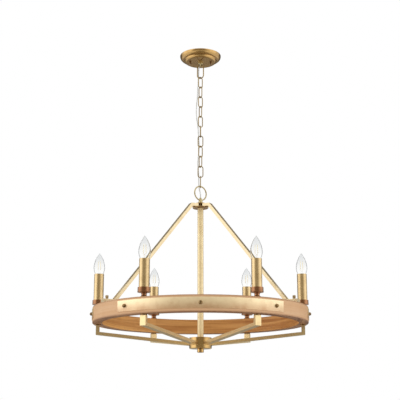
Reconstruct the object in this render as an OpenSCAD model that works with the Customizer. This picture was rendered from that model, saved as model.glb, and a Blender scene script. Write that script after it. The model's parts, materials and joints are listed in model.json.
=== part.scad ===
// Wagon wheel chandelier: six candle lamps on a wooden ring, hung from a ceiling canopy by a chain.
// Lengths are millimetres. The origin is the middle of the ceiling face and +Z points up.
// An angle round the lamp is counted from the front, which is -Y, and grows towards the right, +X.

/* [Ceiling canopy] */
// Radius of the canopy's rim, where it meets the ceiling
canopy_r = 71; // [68:1:80]
// Thickness of the canopy's spun sheet
canopy_wall = 1.2; // [0.8:0.1:2]
// Height of the straight rim below the ceiling
canopy_rim_h = 2; // [1:0.5:4]
// Radius of the outer rolled moulding
outer_roll_r = 13; // [10:0.5:14]
// Radius of the inner rolled moulding
inner_roll_r = 8.5; // [7:0.5:10]
// Width of the flat ledge between the two mouldings
roll_ledge = 1.5; // [1:0.5:6]
// Distance of each canopy screw from the middle
canopy_screw_x = 36; // [30:1:39]
// Diameter of a canopy screw's thread
canopy_screw_d = 4; // [3:0.5:5]
// Diameter of the ball nut on each canopy screw
ball_nut_d = 9; // [8:0.5:11]

/* [Ceiling straps] */
// Distance between the two slots that take the outlet box screws
slot_spacing = 88.9; // [80:0.1:96]
// Width of each slot
slot_w = 4.6; // [4:0.1:5.5]
// End to end length of each slot
slot_len = 13; // [9:1:15]
// Width of both straps
strap_w = 22; // [20:1:25]
// Thickness of both straps
strap_t = 2; // [1.5:0.5:3]
// Drop of the ceiling strap's middle below its ends
strap_drop = 8; // [7:0.5:9]
// Outside diameter of the threaded tubes that carry the lamp
pipe_d = 10; // [9:0.5:11]
// Bore of the threaded tubes
pipe_bore = 6.6; // [6:0.2:7]

/* [Canopy loop] */
// Diameter of the round boss under the canopy
boss_d = 18; // [17:1:24]
// Height of the boss
boss_h = 6.5; // [6:0.5:7.5]
// Wire diameter of the small loop under the boss
canopy_loop_wire = 3.2; // [2.5:0.1:4]
// Radius of the small loop's wire centre
canopy_loop_r = 7.4; // [6.5:0.1:8]
// Drop of the small loop's lowest wire centre below the ceiling
canopy_loop_drop = 37.7; // [37.5:0.1:39]

/* [Chain] */
// Drop from one chain link to the next
link_pitch = 35.8; // [32:0.1:40]
// Wire diameter of the chain
link_wire = 3.2; // [2.5:0.1:4]
// Outside width of a chain link
link_w = 20; // [18:0.5:24]
// Outside length of the large top link
big_link_len = 52; // [48:1:60]
// Outside width of the large top link
big_link_w = 26; // [24:0.5:30]
// Wire diameter of the large top link
big_link_wire = 3.8; // [3:0.1:4.5]
// Clearance between the wires of two linked pieces
link_gap = 0.3; // [0.2:0.05:0.5]

/* [Loop and upper hub] */
// Outside diameter of the round loop that carries the lamp
loop_d = 52; // [46:1:60]
// Wire diameter of that loop
loop_wire = 4.2; // [3.5:0.1:5]
// Turn of the loop about the vertical
loop_turn = 36; // [0:1:60]
// Radius at the foot of the loop's bell
bell_r = 7.4; // [7:0.1:9]
// Height of the bell
bell_h = 19.5; // [18:0.5:24]
// Radius of the plate that clamps the bars from above
top_plate_r = 17.5; // [16:0.5:22]
// Thickness of that plate
top_plate_t = 3; // [2:0.5:5]
// Radius of the spacer between the bars
spacer_r = 6.4; // [6.2:0.1:9]
// Radius of the dished disc under the bars
hub_disc_r = 26.5; // [24:0.5:32]
// Thickness of the dished disc
hub_disc_t = 4; // [3:0.5:6]

/* [Stem and bars] */
// Outside diameter of the stem
stem_d = 20; // [16:0.5:24]
// Wall of the stem, the bars and the arms
tube_wall = 1.2; // [0.8:0.1:2]
// Width of the square bars and arms
bar_w = 20; // [16:1:24]
// Thickness of the square bars and arms
bar_t = 10; // [8:0.5:11]
// Radius of a bar's inner end
bar_in_r = 13; // [12:0.5:15]
// Radius where a bar bends down
bar_bend_r = 36; // [30:1:42]
// Length of a bar's level foot, in from the ring's outside
bar_foot_len = 39; // [34:1:50]
// Drop from the top of the bars to the top of the ring
hanger_drop = 351.5; // [300:0.5:420]

/* [Wooden ring] */
// Outside radius of the wooden ring
ring_r = 350; // [345:1:380]
// Wall of the wooden ring
ring_wall = 32; // [28:1:40]
// Height of the wooden ring
ring_h = 50; // [44:1:60]
// Rounding of the ring's edges
ring_edge = 1.5; // [0.5:0.5:3]

/* [Brass bands] */
// Height of each brass band
band_h = 33; // [26:1:40]
// Thickness of each brass band
band_t = 1.6; // [1:0.1:3]
// Angle that each band covers
band_arc = 90; // [82:1:96]
// Angle from a band's middle to its outer studs
stud_turn = 40; // [36:1:42]
// Base diameter of each stud
stud_d = 12; // [10:0.5:14]
// Height that each stud stands out of its band
stud_h = 7; // [5:0.5:9]

/* [Candles] */
// Outside diameter of a candle sleeve
sleeve_d = 32; // [30:0.5:36]
// Wall of a candle sleeve
sleeve_wall = 1; // [0.8:0.1:1.5]
// Height of a candle sleeve
sleeve_h = 99; // [90:1:120]
// Outside diameter of a candle cup
cup_d = 40; // [38:0.5:46]
// Height of a candle cup
cup_h = 15; // [12:0.5:20]
// Diameter of the neck under a candle cup
neck_d = 20; // [16:0.5:24]
// Height of that neck
neck_h = 13.5; // [10:0.5:18]
// Diameter of the threaded tube that holds a candle
candle_pipe_d = 8; // [7.8:0.1:8]
// Bore of that tube
candle_pipe_bore = 5.2; // [4.6:0.2:5.4]
// Largest diameter of the bulb's glass
bulb_d = 37; // [35:0.5:38]
// Height of the bulb above the sleeve
bulb_show = 70; // [66:1:74]
// Depth of the lamp socket's mouth below the top of the sleeve
socket_depth = 15; // [12:0.5:17]
// Length of the two rods inside the bulb
bulb_rod_len = 26; // [20:1:30]
// Height of the glass stem that carries them
bulb_stem_h = 16; // [12:1:20]

/* [Arms and lower hub] */
// Height of the round collar between the ring and a riser
collar_h = 4; // [3:0.5:6]
// Diameter of that collar
collar_d = 20.5; // [18:0.5:24]
// Radius of the lower hub
hub_r = 36.5; // [34:0.5:42]
// Height of the lower hub's upper half
hub_top_h = 19.5; // [18:0.5:24]
// Height of the lower hub's lower half
hub_low_h = 15.7; // [14:0.1:20]
// Sheet thickness of the lower hub
hub_wall = 2; // [1.5:0.1:3]
// Radius of an arm's inner end
arm_in_r = 18; // [17.5:0.5:19]
// Length of a riser from the collar down to the middle of the arm
riser_h = 25.5; // [20:0.5:30]
// Drop of an arm from its riser to the lower hub
arm_drop = 33.5; // [28:0.5:40]
// Diameter of the finial
finial_d = 21.5; // [18:0.5:26]
// Height of the finial
finial_h = 12; // [10:0.5:16]

/* [Supply cord] */
// Diameter of the supply cord
cord_d = 3.6; // [3:0.1:3.8]

/* [Hidden] */
$fn = 96;

// Clearances
fit = 0.2;       // round a screw, a tube or an arm in its hole
seat = 0.1;      // between curved faces that lie on each other
cut = 1;         // overlap of a cutting shape past the face that it opens

// Places round the lamp
bar_angles = [60, 180, -60];
band_angles = [0, 120, -120];
candle_angles = [30, 90, 150, -150, -90, -30];

// Chain: turn of each link about the vertical, from the large top link down
link_turns = [-20, 40, -54, 37, -60, 36, 87, -12, 42, -58, 0, 90];
canopy_loop_turn = 90;
link_n = len(link_turns);
link_len = link_pitch + link_wire + link_gap;
function wire_of(k) = k == 0 ? canopy_loop_wire : k == 1 ? big_link_wire : k > link_n ? loop_wire : link_wire;
function drop_of(k) = k == 1 ? big_link_len - big_link_wire : link_len;
// height of the lowest wire centre of link k, where 0 is the canopy's loop
function wire_low(k) = k == 0 ? -canopy_loop_drop : wire_high(k) - drop_of(k);
// height of the highest wire centre of link k, which hangs on the link above
function wire_high(k) = wire_low(k - 1) + (wire_of(k - 1) + wire_of(k)) / 2 + link_gap;

// Radii of the candles and of the bars' feet, from the ring
candle_r = ring_r - ring_wall / 2;
bar_foot_r = ring_r - bar_foot_len;

// Heights, from the ceiling down
canopy_h = canopy_rim_h + outer_roll_r + inner_roll_r;
roll_z = -canopy_rim_h - outer_roll_r;
outer_roll_x = canopy_r - outer_roll_r;
canopy_flat_r = outer_roll_x - roll_ledge - inner_roll_r;
strap_mid_z = -strap_drop;
swivel_z = strap_mid_z - strap_t;
nipple_top = strap_mid_z + 3.8;
nipple_end = -canopy_h - 3;
loop_r = (loop_d - loop_wire) / 2;
loop_z = wire_high(link_n + 1) - loop_r;
bell_top = loop_z - loop_r + loop_wire / 2 + 6;
plate_z = bell_top - bell_h;
bar_top = plate_z - top_plate_t;
bar_z = bar_top - bar_t / 2;
disc_z = bar_top - bar_t;
stem_top = disc_z - hub_disc_t;
ring_top = bar_top - hanger_drop;
ring_low = ring_top - ring_h;
foot_z = ring_top + bar_t / 2;
band_z = ring_top - ring_h / 2 + 1.5;
collar_low = ring_low - collar_h;
arm_out_z = collar_low - riser_h;
arm_in_z = arm_out_z - arm_drop;
hub_seam = arm_in_z;
stem_low = hub_seam + hub_top_h;
hub_low = hub_seam - hub_low_h;
finial_low = hub_low - finial_h;
rod_low = finial_low + 4;
rod_top = bell_top - 10.5;
neck_top = ring_top + neck_h;
sleeve_low = neck_top + 2;
sleeve_top = sleeve_low + sleeve_h;
bulb_tip = sleeve_top + bulb_show;
socket_top = sleeve_top - socket_depth;

// Other fixed sizes
hex_w = 14;                 // across the flats of the nuts on the nipple
lead_d = 2;                 // one insulated conductor
socket_d = 23;              // lamp socket
cap_d = 12;                 // bulb cap
cap_h = 21;
foot_screw_d = 5;           // thread of a thumb knob
foot_screw_h = 32;          // how deep it goes into the ring
foot_hole_h = foot_screw_h + 2;
stud_screw_d = 3.5;         // shank of a band stud
pipe_hole = pipe_d + 2 * fit;
candle_hole = candle_pipe_d + 2 * fit;
riser_plug = 9;             // closed length at the top of a riser, which takes the candle's tube

// The supply cord's way from the nipple, beside and through the chain, to the loop's bell
cord_route = [
    [0, 0, -6], [0, 0, -22], [-0.6, 0.9, -26.5], [-2.5, 3.6, -30.3], [-4.3, 6.2, -34.8], [-5.6, 7.8, -40],
    [-6, 8, -50], [-6.5, 8, -64], [-7.5, 8, -80], [-8, 6, -94], [-8.5, 5, -108], [-9.5, 3.5, -120],
    [-10, 2, -138], [-11, 0, -156], [-13, 0, -176], [-14, 0, -196], [-14, 0, -216], [-12, 1, -236],
    [-9.5, 2, -252], [-8, 4, -268], [-7, 6, -284], [-6, 7, -300], [-5, 7, -318], [-5, 7, -336],
    [-6, 5, -354], [-8, 2.5, -372], [-9, 2, -388], [-8.5, 3.5, -400], [-7.5, 5.5, -410],
    [-6.5, 6, -424], [-6, 6, -440], [-6, 6, -456], [-5, 6.5, -469], [-4, 5.5, -479], [-2, 3, -489],
    [0, 0, -500], [0, 0, -508], [0, 0, -521.5]];

// ---------------------------------------------------------------- helpers

// Local +X points outwards at an angle round the lamp
module at(angle) {
    rotate([0, 0, angle - 90]) children();
}

module at_candle(angle) {
    at(angle) translate([candle_r, 0, 0]) children();
}

// A straight tube that stands on z
module pipe(d, bore, z, h) {
    translate([0, 0, z]) difference() {
        cylinder(d = d, h = h);
        translate([0, 0, -cut]) cylinder(d = bore, h = h + 2 * cut);
    }
}

// One oval chain link in the XZ plane: two half rings and two straight sides
module oval_link(length, width, wire) {
    side = length - width;
    for (s = [1, -1]) {
        translate([0, 0, s * side / 2]) rotate([s * 90, 0, 0])
            rotate_extrude(angle = 180) translate([width / 2, 0]) circle(d = wire, $fn = 32);
        translate([s * width / 2, 0, -side / 2]) cylinder(d = wire, h = side, $fn = 32);
    }
}

module chain_link(k) {
    width = k == 1 ? big_link_w - big_link_wire : link_w - link_wire;
    color("goldenrod") translate([0, 0, (wire_low(k) + wire_high(k)) / 2])
        rotate([0, 0, link_turns[k - 1]]) oval_link(drop_of(k), width, wire_of(k));
}

// Points at a distance d to the left of a path of straight runs, with mitred corners
function heading(path, i) = (path[i + 1] - path[i]) / norm(path[i + 1] - path[i]);
function left_of(u) = [-u[1], u[0]];
function mitre(path, i, d) =
    let (last = len(path) - 1,
         a = left_of(heading(path, max(i - 1, 0))),
         b = left_of(heading(path, min(i, last - 1))))
    path[i] + d * (a + b) / (1 + a * b);
function beside(path, d) = [for (i = [0 : len(path) - 1]) mitre(path, i, d)];
function reversed(list) = [for (i = [len(list) - 1 : -1 : 0]) list[i]];
function strip(path, t) = concat(beside(path, t / 2), reversed(beside(path, -t / 2)));

// A bent strip or square tube: the path lies in the XZ plane and the width along Y
module bent(path, t, width) {
    rotate([90, 0, 0]) translate([0, 0, -width / 2]) linear_extrude(width) polygon(strip(path, t));
}

// A tube swept along points that never run along Y, with a ring square to the path at each one
function unit(v) = v / norm(v);
function along(path, i) = unit(path[min(i + 1, len(path) - 1)] - path[max(i - 1, 0)]);
function across(t) = unit(cross(t, [0, 1, 0]));
function sweep_ring(path, i, r, sides) =
    let (t = along(path, i), u = across(t), v = cross(t, u))
    [for (s = [0 : sides - 1]) path[i] + r * (cos(360 * s / sides) * u + sin(360 * s / sides) * v)];
module swept(path, d, sides = 8) {
    n = len(path);
    rings = [for (i = [0 : n - 1]) each sweep_ring(path, i, d / 2, sides)];
    walls = [for (i = [0 : n - 2], s = [0 : sides - 1])
        let (a = i * sides + s, b = i * sides + (s + 1) % sides)
        each [[a, a + sides, b], [b, a + sides, b + sides]]];
    first = [for (s = [1 : sides - 2]) [0, s, s + 1]];
    last = [for (s = [1 : sides - 2]) [(n - 1) * sides, (n - 1) * sides + s + 1, (n - 1) * sides + s]];
    polyhedron(points = rings, faces = concat(walls, first, last), convexity = 8);
}

// Extra points on a smooth curve through the chosen ones
function blend(a, b, c, d, s) =
    0.5 * (2 * b + (c - a) * s + (2 * a - 5 * b + 4 * c - d) * s * s + (3 * b - a - 3 * c + d) * s * s * s);
function smooth(path, steps) = concat(
    [for (i = [0 : len(path) - 2], s = [0 : steps - 1])
        blend(path[max(i - 1, 0)], path[i], path[i + 1], path[min(i + 2, len(path) - 1)], s / steps)],
    [path[len(path) - 1]]);

// ---------------------------------------------------------------- ceiling group

module ceiling_strap() {
    foot = slot_spacing / 2 - slot_len / 2 - 4;
    end = slot_spacing / 2 + slot_len / 2 + 3;
    z = -strap_t / 2;
    path = [[-end, z], [-foot, z], [-foot + strap_drop + 2, z - strap_drop],
            [foot - strap_drop - 2, z - strap_drop], [foot, z], [end, z]];
    color("silver") difference() {
        rotate([0, 0, 90]) bent(path, strap_t, strap_w);
        translate([0, 0, -strap_drop - 2 * strap_t]) cylinder(d = pipe_hole, h = 4 * strap_t);
        for (s = [1, -1]) translate([0, s * slot_spacing / 2, -2 * strap_t]) {
            for (e = [1, -1]) translate([0, e * (slot_len - slot_w) / 2, 0])
                cylinder(d = slot_w, h = 3 * strap_t);
            translate([-slot_w / 2, -(slot_len - slot_w) / 2, 0])
                cube([slot_w, slot_len - slot_w, 3 * strap_t]);
        }
        translate([7, 0, -strap_drop - 2 * strap_t]) cylinder(d = 3 + 2 * seat, h = 4 * strap_t);
    }
}

module swivel_strap() {
    half = canopy_screw_x + 6;
    color("silver") difference() {
        translate([-half, -strap_w / 2, swivel_z - strap_t]) cube([2 * half, strap_w, strap_t]);
        translate([0, 0, swivel_z - 2 * strap_t]) {
            cylinder(d = pipe_hole, h = 3 * strap_t);
            translate([7, 0, 0]) cylinder(d = 3 + 2 * seat, h = 3 * strap_t);
            for (s = [1, -1]) translate([s * canopy_screw_x, 0, 0])
                cylinder(d = canopy_screw_d + 2 * seat, h = 3 * strap_t);
        }
    }
}

module hex_nut(z, h) {
    translate([0, 0, z]) difference() {
        cylinder(d = hex_w / cos(30), h = h, $fn = 6);
        translate([0, 0, -cut]) cylinder(d = pipe_hole, h = h + 2 * cut);
    }
}

// The threaded tube and its three nuts
module strap_nipple() {
    color("lightgray") pipe(pipe_d, pipe_bore, nipple_end, nipple_top - nipple_end);
    color("silver") {
        hex_nut(strap_mid_z, 3);
        hex_nut(swivel_z - strap_t - 4, 4);
        hex_nut(-canopy_h + canopy_wall, 3);
    }
}

module ground_screw() {
    color("green") translate([7 + 8, 0, swivel_z - strap_t - 2]) cylinder(d = 6, h = 2);
}

// Half section of the canopy's outside, drawn in by a distance
module canopy_section(in) {
    translate([0, -canopy_rim_h]) square([canopy_r - in, canopy_rim_h + (in > 0 ? cut : 0)]);
    translate([0, roll_z + in]) square([outer_roll_x, outer_roll_r - in]);
    intersection() {
        translate([outer_roll_x, -canopy_rim_h]) circle(r = outer_roll_r - in);
        translate([0, roll_z]) square([canopy_r, outer_roll_r]);
    }
    translate([0, -canopy_h + in]) square([canopy_flat_r, inner_roll_r]);
    intersection() {
        translate([canopy_flat_r, roll_z]) circle(r = inner_roll_r - in);
        translate([0, -canopy_h]) square([canopy_r, inner_roll_r + (in > 0 ? in : 0)]);
    }
}

module canopy() {
    color("goldenrod") difference() {
        rotate_extrude() difference() {
            canopy_section(0);
            canopy_section(canopy_wall);
        }
        translate([0, 0, -canopy_h - cut]) cylinder(d = pipe_hole, h = 3 * cut);
        for (s = [1, -1]) translate([s * canopy_screw_x, 0, -canopy_h - cut])
            cylinder(d = canopy_screw_d + 2 * fit, h = 3 * cut);
    }
}

module canopy_screws() {
    color("goldenrod") for (s = [1, -1]) translate([s * canopy_screw_x, 0, 0]) {
        top = swivel_z + 2;
        translate([0, 0, -canopy_h - 2]) cylinder(d = canopy_screw_d, h = canopy_h + 2 + top);
        translate([0, 0, -canopy_h - ball_nut_d / 2 - 0.6]) sphere(d = ball_nut_d, $fn = 48);
        translate([0, 0, -canopy_h - 2]) cylinder(d = ball_nut_d - 2, h = 2);
    }
}

module canopy_loop() {
    ring_z = -canopy_loop_drop + canopy_loop_r;
    boss_z = -canopy_h - boss_h;
    color("goldenrod") difference() {
        union() {
            translate([0, 0, boss_z + 2]) cylinder(d = boss_d, h = boss_h - 2);
            translate([0, 0, boss_z]) cylinder(d1 = boss_d - 4, d2 = boss_d, h = 2);
            translate([0, 0, ring_z]) rotate([0, 0, canopy_loop_turn]) {
                rotate([-90, 0, 0]) rotate_extrude(angle = 180)
                    translate([canopy_loop_r, 0]) circle(d = canopy_loop_wire, $fn = 32);
                for (s = [1, -1]) translate([s * canopy_loop_r, 0, 0])
                    cylinder(d = canopy_loop_wire, h = 2, $fn = 32);
            }
        }
        translate([0, 0, nipple_end - 1.4]) cylinder(d = pipe_hole, h = 2 * boss_h);
        translate([-0.6, 0.9, nipple_end]) rotate([0, 180 - 38, 125]) cylinder(d = cord_d + 1, h = 14);
    }
}

connector_places = [[34, 21], [-34, 21], [-34, -21]];
connector_z = -13;

module wire_connectors() {
    color("orange") for (p = connector_places) translate([p[0], p[1], connector_z]) {
        translate([0, 0, -6]) cylinder(d1 = 6, d2 = 8.5, h = 8, $fn = 32);
        translate([0, 0, 2]) cylinder(d = 8.5, h = 1.5, $fn = 32);
    }
}

module lead_wires() {
    over = nipple_top + lead_d / 2 + 0.6;
    color("white") for (i = [0 : 2]) let (p = connector_places[i], s = 120 * i + 30)
        swept(smooth([
            [1.6 * cos(s), 1.6 * sin(s), cord_route[0][2] + 0.4], [1.7 * cos(s), 1.7 * sin(s), over - 0.6],
            [0.2 * p[0], 0.2 * p[1], over], [0.5 * p[0], 0.5 * p[1], over - 0.4],
            [0.85 * p[0], 0.85 * p[1], over - 0.6], [p[0], p[1], over - 3],
            [p[0], p[1], connector_z + 3.9]], 2), lead_d);
}

module supply_cord() {
    color("whitesmoke") swept(smooth(cord_route, 2), cord_d);
}

// ---------------------------------------------------------------- loop, hub and bars

module top_loop() {
    color("goldenrod") difference() {
        union() {
            difference() {
                translate([0, 0, loop_z]) rotate([0, 0, loop_turn]) rotate([90, 0, 0])
                    rotate_extrude() translate([loop_r, 0]) circle(d = loop_wire, $fn = 32);
                translate([0, 0, bell_top - 30]) cylinder(r = 3.5, h = 30);
            }
            translate([0, 0, plate_z]) rotate_extrude() polygon([
                [0, 0], [bell_r, 0], [bell_r, 3], [bell_r - 0.6, 7], [bell_r - 2.2, 13],
                [3.6, bell_h - 1], [3.2, bell_h], [0, bell_h]]);
        }
        translate([0, 0, plate_z - cut]) cylinder(d = cord_d + 0.6, h = bell_h + 2 * cut);
        translate([0, 0, plate_z - cut]) cylinder(d = pipe_d + 2 * seat, h = rod_top - plate_z + 2 * cut);
    }
}

module top_plate() {
    color("goldenrod") pipe(2 * top_plate_r, pipe_hole, bar_top, top_plate_t);
}

// The dished disc under the bars, with the spacer that stands on it between them
module hub_disc() {
    color("goldenrod") pipe(2 * spacer_r, pipe_hole, disc_z - cut, bar_t + cut);
    color("goldenrod") translate([0, 0, stem_top]) rotate_extrude() difference() {
        polygon([[pipe_hole / 2, 0], [hub_disc_r - 1.5, 0], [hub_disc_r, 1.5],
                 [hub_disc_r, hub_disc_t - 1], [hub_disc_r - 1, hub_disc_t], [pipe_hole / 2, hub_disc_t]]);
        translate([stem_d / 2 + 3, -cut]) square([hub_disc_r - stem_d / 2 - 6, 1 + cut]);
    }
}

module stem() {
    color("goldenrod") pipe(stem_d, stem_d - 2 * tube_wall, stem_low, stem_top - stem_low);
}

module centre_rod() {
    color("lightgray") pipe(pipe_d, pipe_bore, rod_low, rod_top - rod_low);
}

module stem_lead() {
    low = hub_seam + 2;
    color("whitesmoke") translate([0, 0, low]) cylinder(d = cord_d, h = rod_top - 0.3 - low);
}

module bar() {
    end = ring_r - 1;
    path = [[bar_in_r, bar_z], [bar_bend_r, bar_z], [bar_foot_r, foot_z], [end, foot_z]];
    hollow = [[bar_in_r - cut, bar_z], path[1], path[2], [end - tube_wall, foot_z]];
    color("goldenrod") difference() {
        bent(path, bar_t, bar_w);
        bent(hollow, bar_t - 2 * tube_wall, bar_w - 2 * tube_wall);
        translate([candle_r, 0, ring_top - cut]) cylinder(d = foot_screw_d + 2 * fit, h = bar_t + 2 * cut);
    }
}

module bar_1() { at(bar_angles[0]) bar(); }
module bar_2() { at(bar_angles[1]) bar(); }
module bar_3() { at(bar_angles[2]) bar(); }

module thumb_knob() {
    base = ring_top + bar_t;
    translate([0, 0, ring_top - foot_screw_h]) cylinder(d = foot_screw_d, h = foot_screw_h + bar_t);
    translate([0, 0, base]) cylinder(d = 13, h = 1.5);
    translate([0, 0, base + 1.5]) cylinder(d = 7, h = 2);
    difference() {
        translate([0, 0, base + 3.5]) cylinder(d = 10, h = 8.5);
        for (i = [0 : 9]) rotate([0, 0, 36 * i]) translate([5.4, 0, base + 3]) cylinder(d = 1.8, h = 10);
    }
}

module thumb_knobs() {
    color("darkgoldenrod") for (a = bar_angles) at_candle(a) thumb_knob();
}

// ---------------------------------------------------------------- wooden ring and bands

module wood_ring() {
    in = ring_r - ring_wall;
    e = ring_edge;
    color("burlywood") difference() {
        translate([0, 0, ring_low]) rotate_extrude($fn = 180) {
            translate([in + e, 0]) square([ring_wall - 2 * e, ring_h]);
            translate([in, e]) square([ring_wall, ring_h - 2 * e]);
            for (x = [in + e, ring_r - e], z = [e, ring_h - e]) translate([x, z]) circle(r = e, $fn = 32);
        }
        for (a = candle_angles) at_candle(a)
            translate([0, 0, ring_low - cut]) cylinder(d = candle_hole, h = ring_h + 2 * cut);
        for (a = bar_angles) at_candle(a)
            translate([0, 0, ring_top - foot_hole_h])
                cylinder(d = foot_screw_d + 2 * seat, h = foot_hole_h + cut);
        for (b = band_angles, s = [-1, 0, 1]) at(b + s * stud_turn)
            translate([candle_r, 0, band_z]) rotate([0, 90, 0])
                cylinder(d = stud_screw_d + 2 * seat, h = ring_wall / 2 + cut);
    }
}

module band(angle) {
    color("goldenrod") difference() {
        translate([0, 0, band_z - band_h / 2]) at(angle) rotate([0, 0, -band_arc / 2])
            rotate_extrude(angle = band_arc, $fn = 180)
                translate([ring_r + seat, 0]) square([band_t, band_h]);
        for (s = [-1, 0, 1]) at(angle + s * stud_turn) translate([ring_r - cut, 0, band_z])
            rotate([0, 90, 0]) cylinder(d = stud_screw_d + 2 * fit, h = band_t + 3 * cut);
    }
}

module band_1() { band(band_angles[0]); }
module band_2() { band(band_angles[1]); }
module band_3() { band(band_angles[2]); }

// A turned stud: a low base, a cone and a small flat nose
module stud() {
    rotate([0, 90, 0]) rotate_extrude($fn = 48) polygon([
        [0, 0], [stud_d / 2, 0], [stud_d / 2, 1.4], [stud_d / 2 - 0.6, 2], [stud_d / 2 - 1.6, stud_h - 1.2],
        [stud_d / 2 - 2.6, stud_h - 0.2], [stud_d / 2 - 3.4, stud_h], [0, stud_h]]);
    translate([-14, 0, 0]) rotate([0, 90, 0]) cylinder(d = stud_screw_d, h = 14 + cut);
}

module band_studs() {
    color("darkgoldenrod") for (b = band_angles, s = [-1, 0, 1])
        at(b + s * stud_turn) translate([ring_r + seat + band_t + seat, 0, band_z]) stud();
}

// ---------------------------------------------------------------- candles

module candle_nipples() {
    color("lightgray") for (a = candle_angles) at_candle(a)
        pipe(candle_pipe_d, candle_pipe_bore, collar_low - riser_plug + 1,
            sleeve_low + 6 - (collar_low - riser_plug + 1));
}

module candle_necks() {
    color("goldenrod") for (a = candle_angles) at_candle(a) translate([0, 0, ring_top])
        rotate_extrude($fn = 64) polygon([
            [candle_hole / 2, 0], [neck_d / 2, 0], [neck_d / 2, 2], [neck_d / 2 - 2, 4],
            [neck_d / 2 - 2, neck_h - 4], [neck_d / 2, neck_h - 1.5], [neck_d / 2, neck_h],
            [candle_hole / 2, neck_h]]);
}

module candle_cups() {
    r = cup_d / 2;
    color("chocolate") for (a = candle_angles) at_candle(a) translate([0, 0, neck_top])
        rotate_extrude($fn = 96) polygon([
            [candle_hole / 2, 0], [r - 0.8, 0], [r, 0.8], [r, 2.2], [r - 0.6, 2.8], [r - 0.6, cup_h],
            [r - 1.8, cup_h], [r - 1.8, 2], [candle_hole / 2, 2]]);
}

module candle_sleeves() {
    color("goldenrod") for (a = candle_angles) at_candle(a)
        pipe(sleeve_d, sleeve_d - 2 * sleeve_wall, sleeve_low, sleeve_h);
}

// A lamp socket on its strap, screwed to the nipple in the cup's floor
module lamp_sockets() {
    socket_low = socket_top - cap_h - 6;
    color("ivory") for (a = candle_angles) at_candle(a) difference() {
        union() {
            translate([0, 0, socket_low]) cylinder(d = socket_d, h = socket_top - socket_low, $fn = 64);
            translate([-socket_d / 2 + 2, -4, sleeve_low + 4]) cube([2, 8, socket_low - sleeve_low - 3]);
            translate([0, 0, sleeve_low]) cylinder(d = socket_d - 2, h = 4, $fn = 64);
        }
        translate([0, 0, socket_top - cap_h - 2]) cylinder(d = cap_d + 0.6, h = cap_h + 3);
        translate([0, 0, socket_low - cut]) cylinder(d = 4, h = 8);
        translate([0, 0, sleeve_low - cut]) cylinder(d = candle_hole, h = 6);
    }
}

// Half section of the bulb's glass from the cap's mouth to the tip
function glass_r(s) = s < 0.42
    ? 7 + (bulb_d / 2 - 7) * sin(90 * s / 0.42) ^ 1.15
    : bulb_d / 2 * cos(90 * (s - 0.42) / 0.58) ^ 0.82;
module glass_section(in) {
    low = socket_top + 0.5;
    h = bulb_tip - low;
    n = 24;
    rise = [for (i = [0 : n]) let (s = i / n)
        [i == n ? 0 : max(glass_r(s) - in, 0.3), low + s * (h - in)]];
    polygon(concat([[0, low]], rise));
}

module bulb(angle) {
    at_candle(angle) {
        color("lightcyan", 0.4) rotate_extrude($fn = 64) difference() {
            glass_section(0);
            glass_section(0.9);
            translate([0, socket_top]) square([7 - 0.9, 2 * cut]);
        }
        color("silver") {
            translate([0, 0, socket_top + 0.1]) cylinder(d = cap_d + 1.4, h = 0.3, $fn = 64);
            translate([0, 0, socket_top - cap_h + 2]) cylinder(d = cap_d, h = cap_h - 1.7, $fn = 64);
            translate([0, 0, socket_top - cap_h + 0.5]) cylinder(d1 = 5, d2 = 8, h = 1.5, $fn = 32);
            translate([0, 0, socket_top]) cylinder(d1 = 9, d2 = 4, h = bulb_stem_h, $fn = 32);
            for (s = [1, -1]) translate([s * 2.6, 0, socket_top + bulb_stem_h - 2]) {
                translate([-s * 1.3, 0, 0]) rotate([0, s * 12, 0]) cylinder(d = 1, h = 12, $fn = 16);
                translate([s * 1.2, 0, 11]) cylinder(d = 1.8, h = bulb_rod_len, $fn = 16);
            }
        }
    }
}

module bulb_1() { bulb(candle_angles[0]); }
module bulb_2() { bulb(candle_angles[1]); }
module bulb_3() { bulb(candle_angles[2]); }
module bulb_4() { bulb(candle_angles[3]); }
module bulb_5() { bulb(candle_angles[4]); }
module bulb_6() { bulb(candle_angles[5]); }

// ---------------------------------------------------------------- arms and lower hub

module ring_collars() {
    color("darkgoldenrod") for (a = candle_angles) at_candle(a)
        pipe(collar_d, candle_hole, collar_low, collar_h);
}

arm_bend_r = hub_r + 2;
arm_path = [[arm_in_r, arm_in_z], [arm_bend_r, arm_in_z], [candle_r, arm_out_z], [candle_r, collar_low]];

module arm() {
    hollow = [[arm_in_r - cut, arm_in_z], arm_path[1], arm_path[2], [candle_r, collar_low - riser_plug]];
    color("goldenrod") difference() {
        bent(arm_path, bar_t, bar_w);
        bent(hollow, bar_t - 2 * tube_wall, bar_w - 2 * tube_wall);
        translate([candle_r, 0, collar_low - riser_plug - cut]) cylinder(d = candle_hole, h = riser_plug + 2 * cut);
    }
}

module arm_1() { at(candle_angles[0]) arm(); }
module arm_2() { at(candle_angles[1]) arm(); }
module arm_3() { at(candle_angles[2]) arm(); }
module arm_4() { at(candle_angles[3]) arm(); }
module arm_5() { at(candle_angles[4]) arm(); }
module arm_6() { at(candle_angles[5]) arm(); }

module lamp_wires() {
    socket_low = socket_top - cap_h - 6;
    color("white") for (a = candle_angles) at(a) swept([
        [candle_r, 0, socket_low + 4], [candle_r, 0, sleeve_low], [candle_r, 0, ring_low],
        [candle_r, 0, arm_out_z + 6], [candle_r - 2, 0, arm_out_z + 1], [candle_r - 8, 0, arm_out_z - 1.2],
        [arm_bend_r + 4, 0, arm_in_z + 0.5], [arm_bend_r - 6, 0, arm_in_z],
        [pipe_d / 2 + 1.5, 0, arm_in_z]], lead_d);
}

// Notches in the hub's wall that hold the arms
module arm_notches() {
    for (a = candle_angles) at(a)
        translate([hub_r - 6, -bar_w / 2 - fit, arm_in_z - bar_t / 2])
            cube([12, bar_w + 2 * fit, bar_t]);
}

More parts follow.
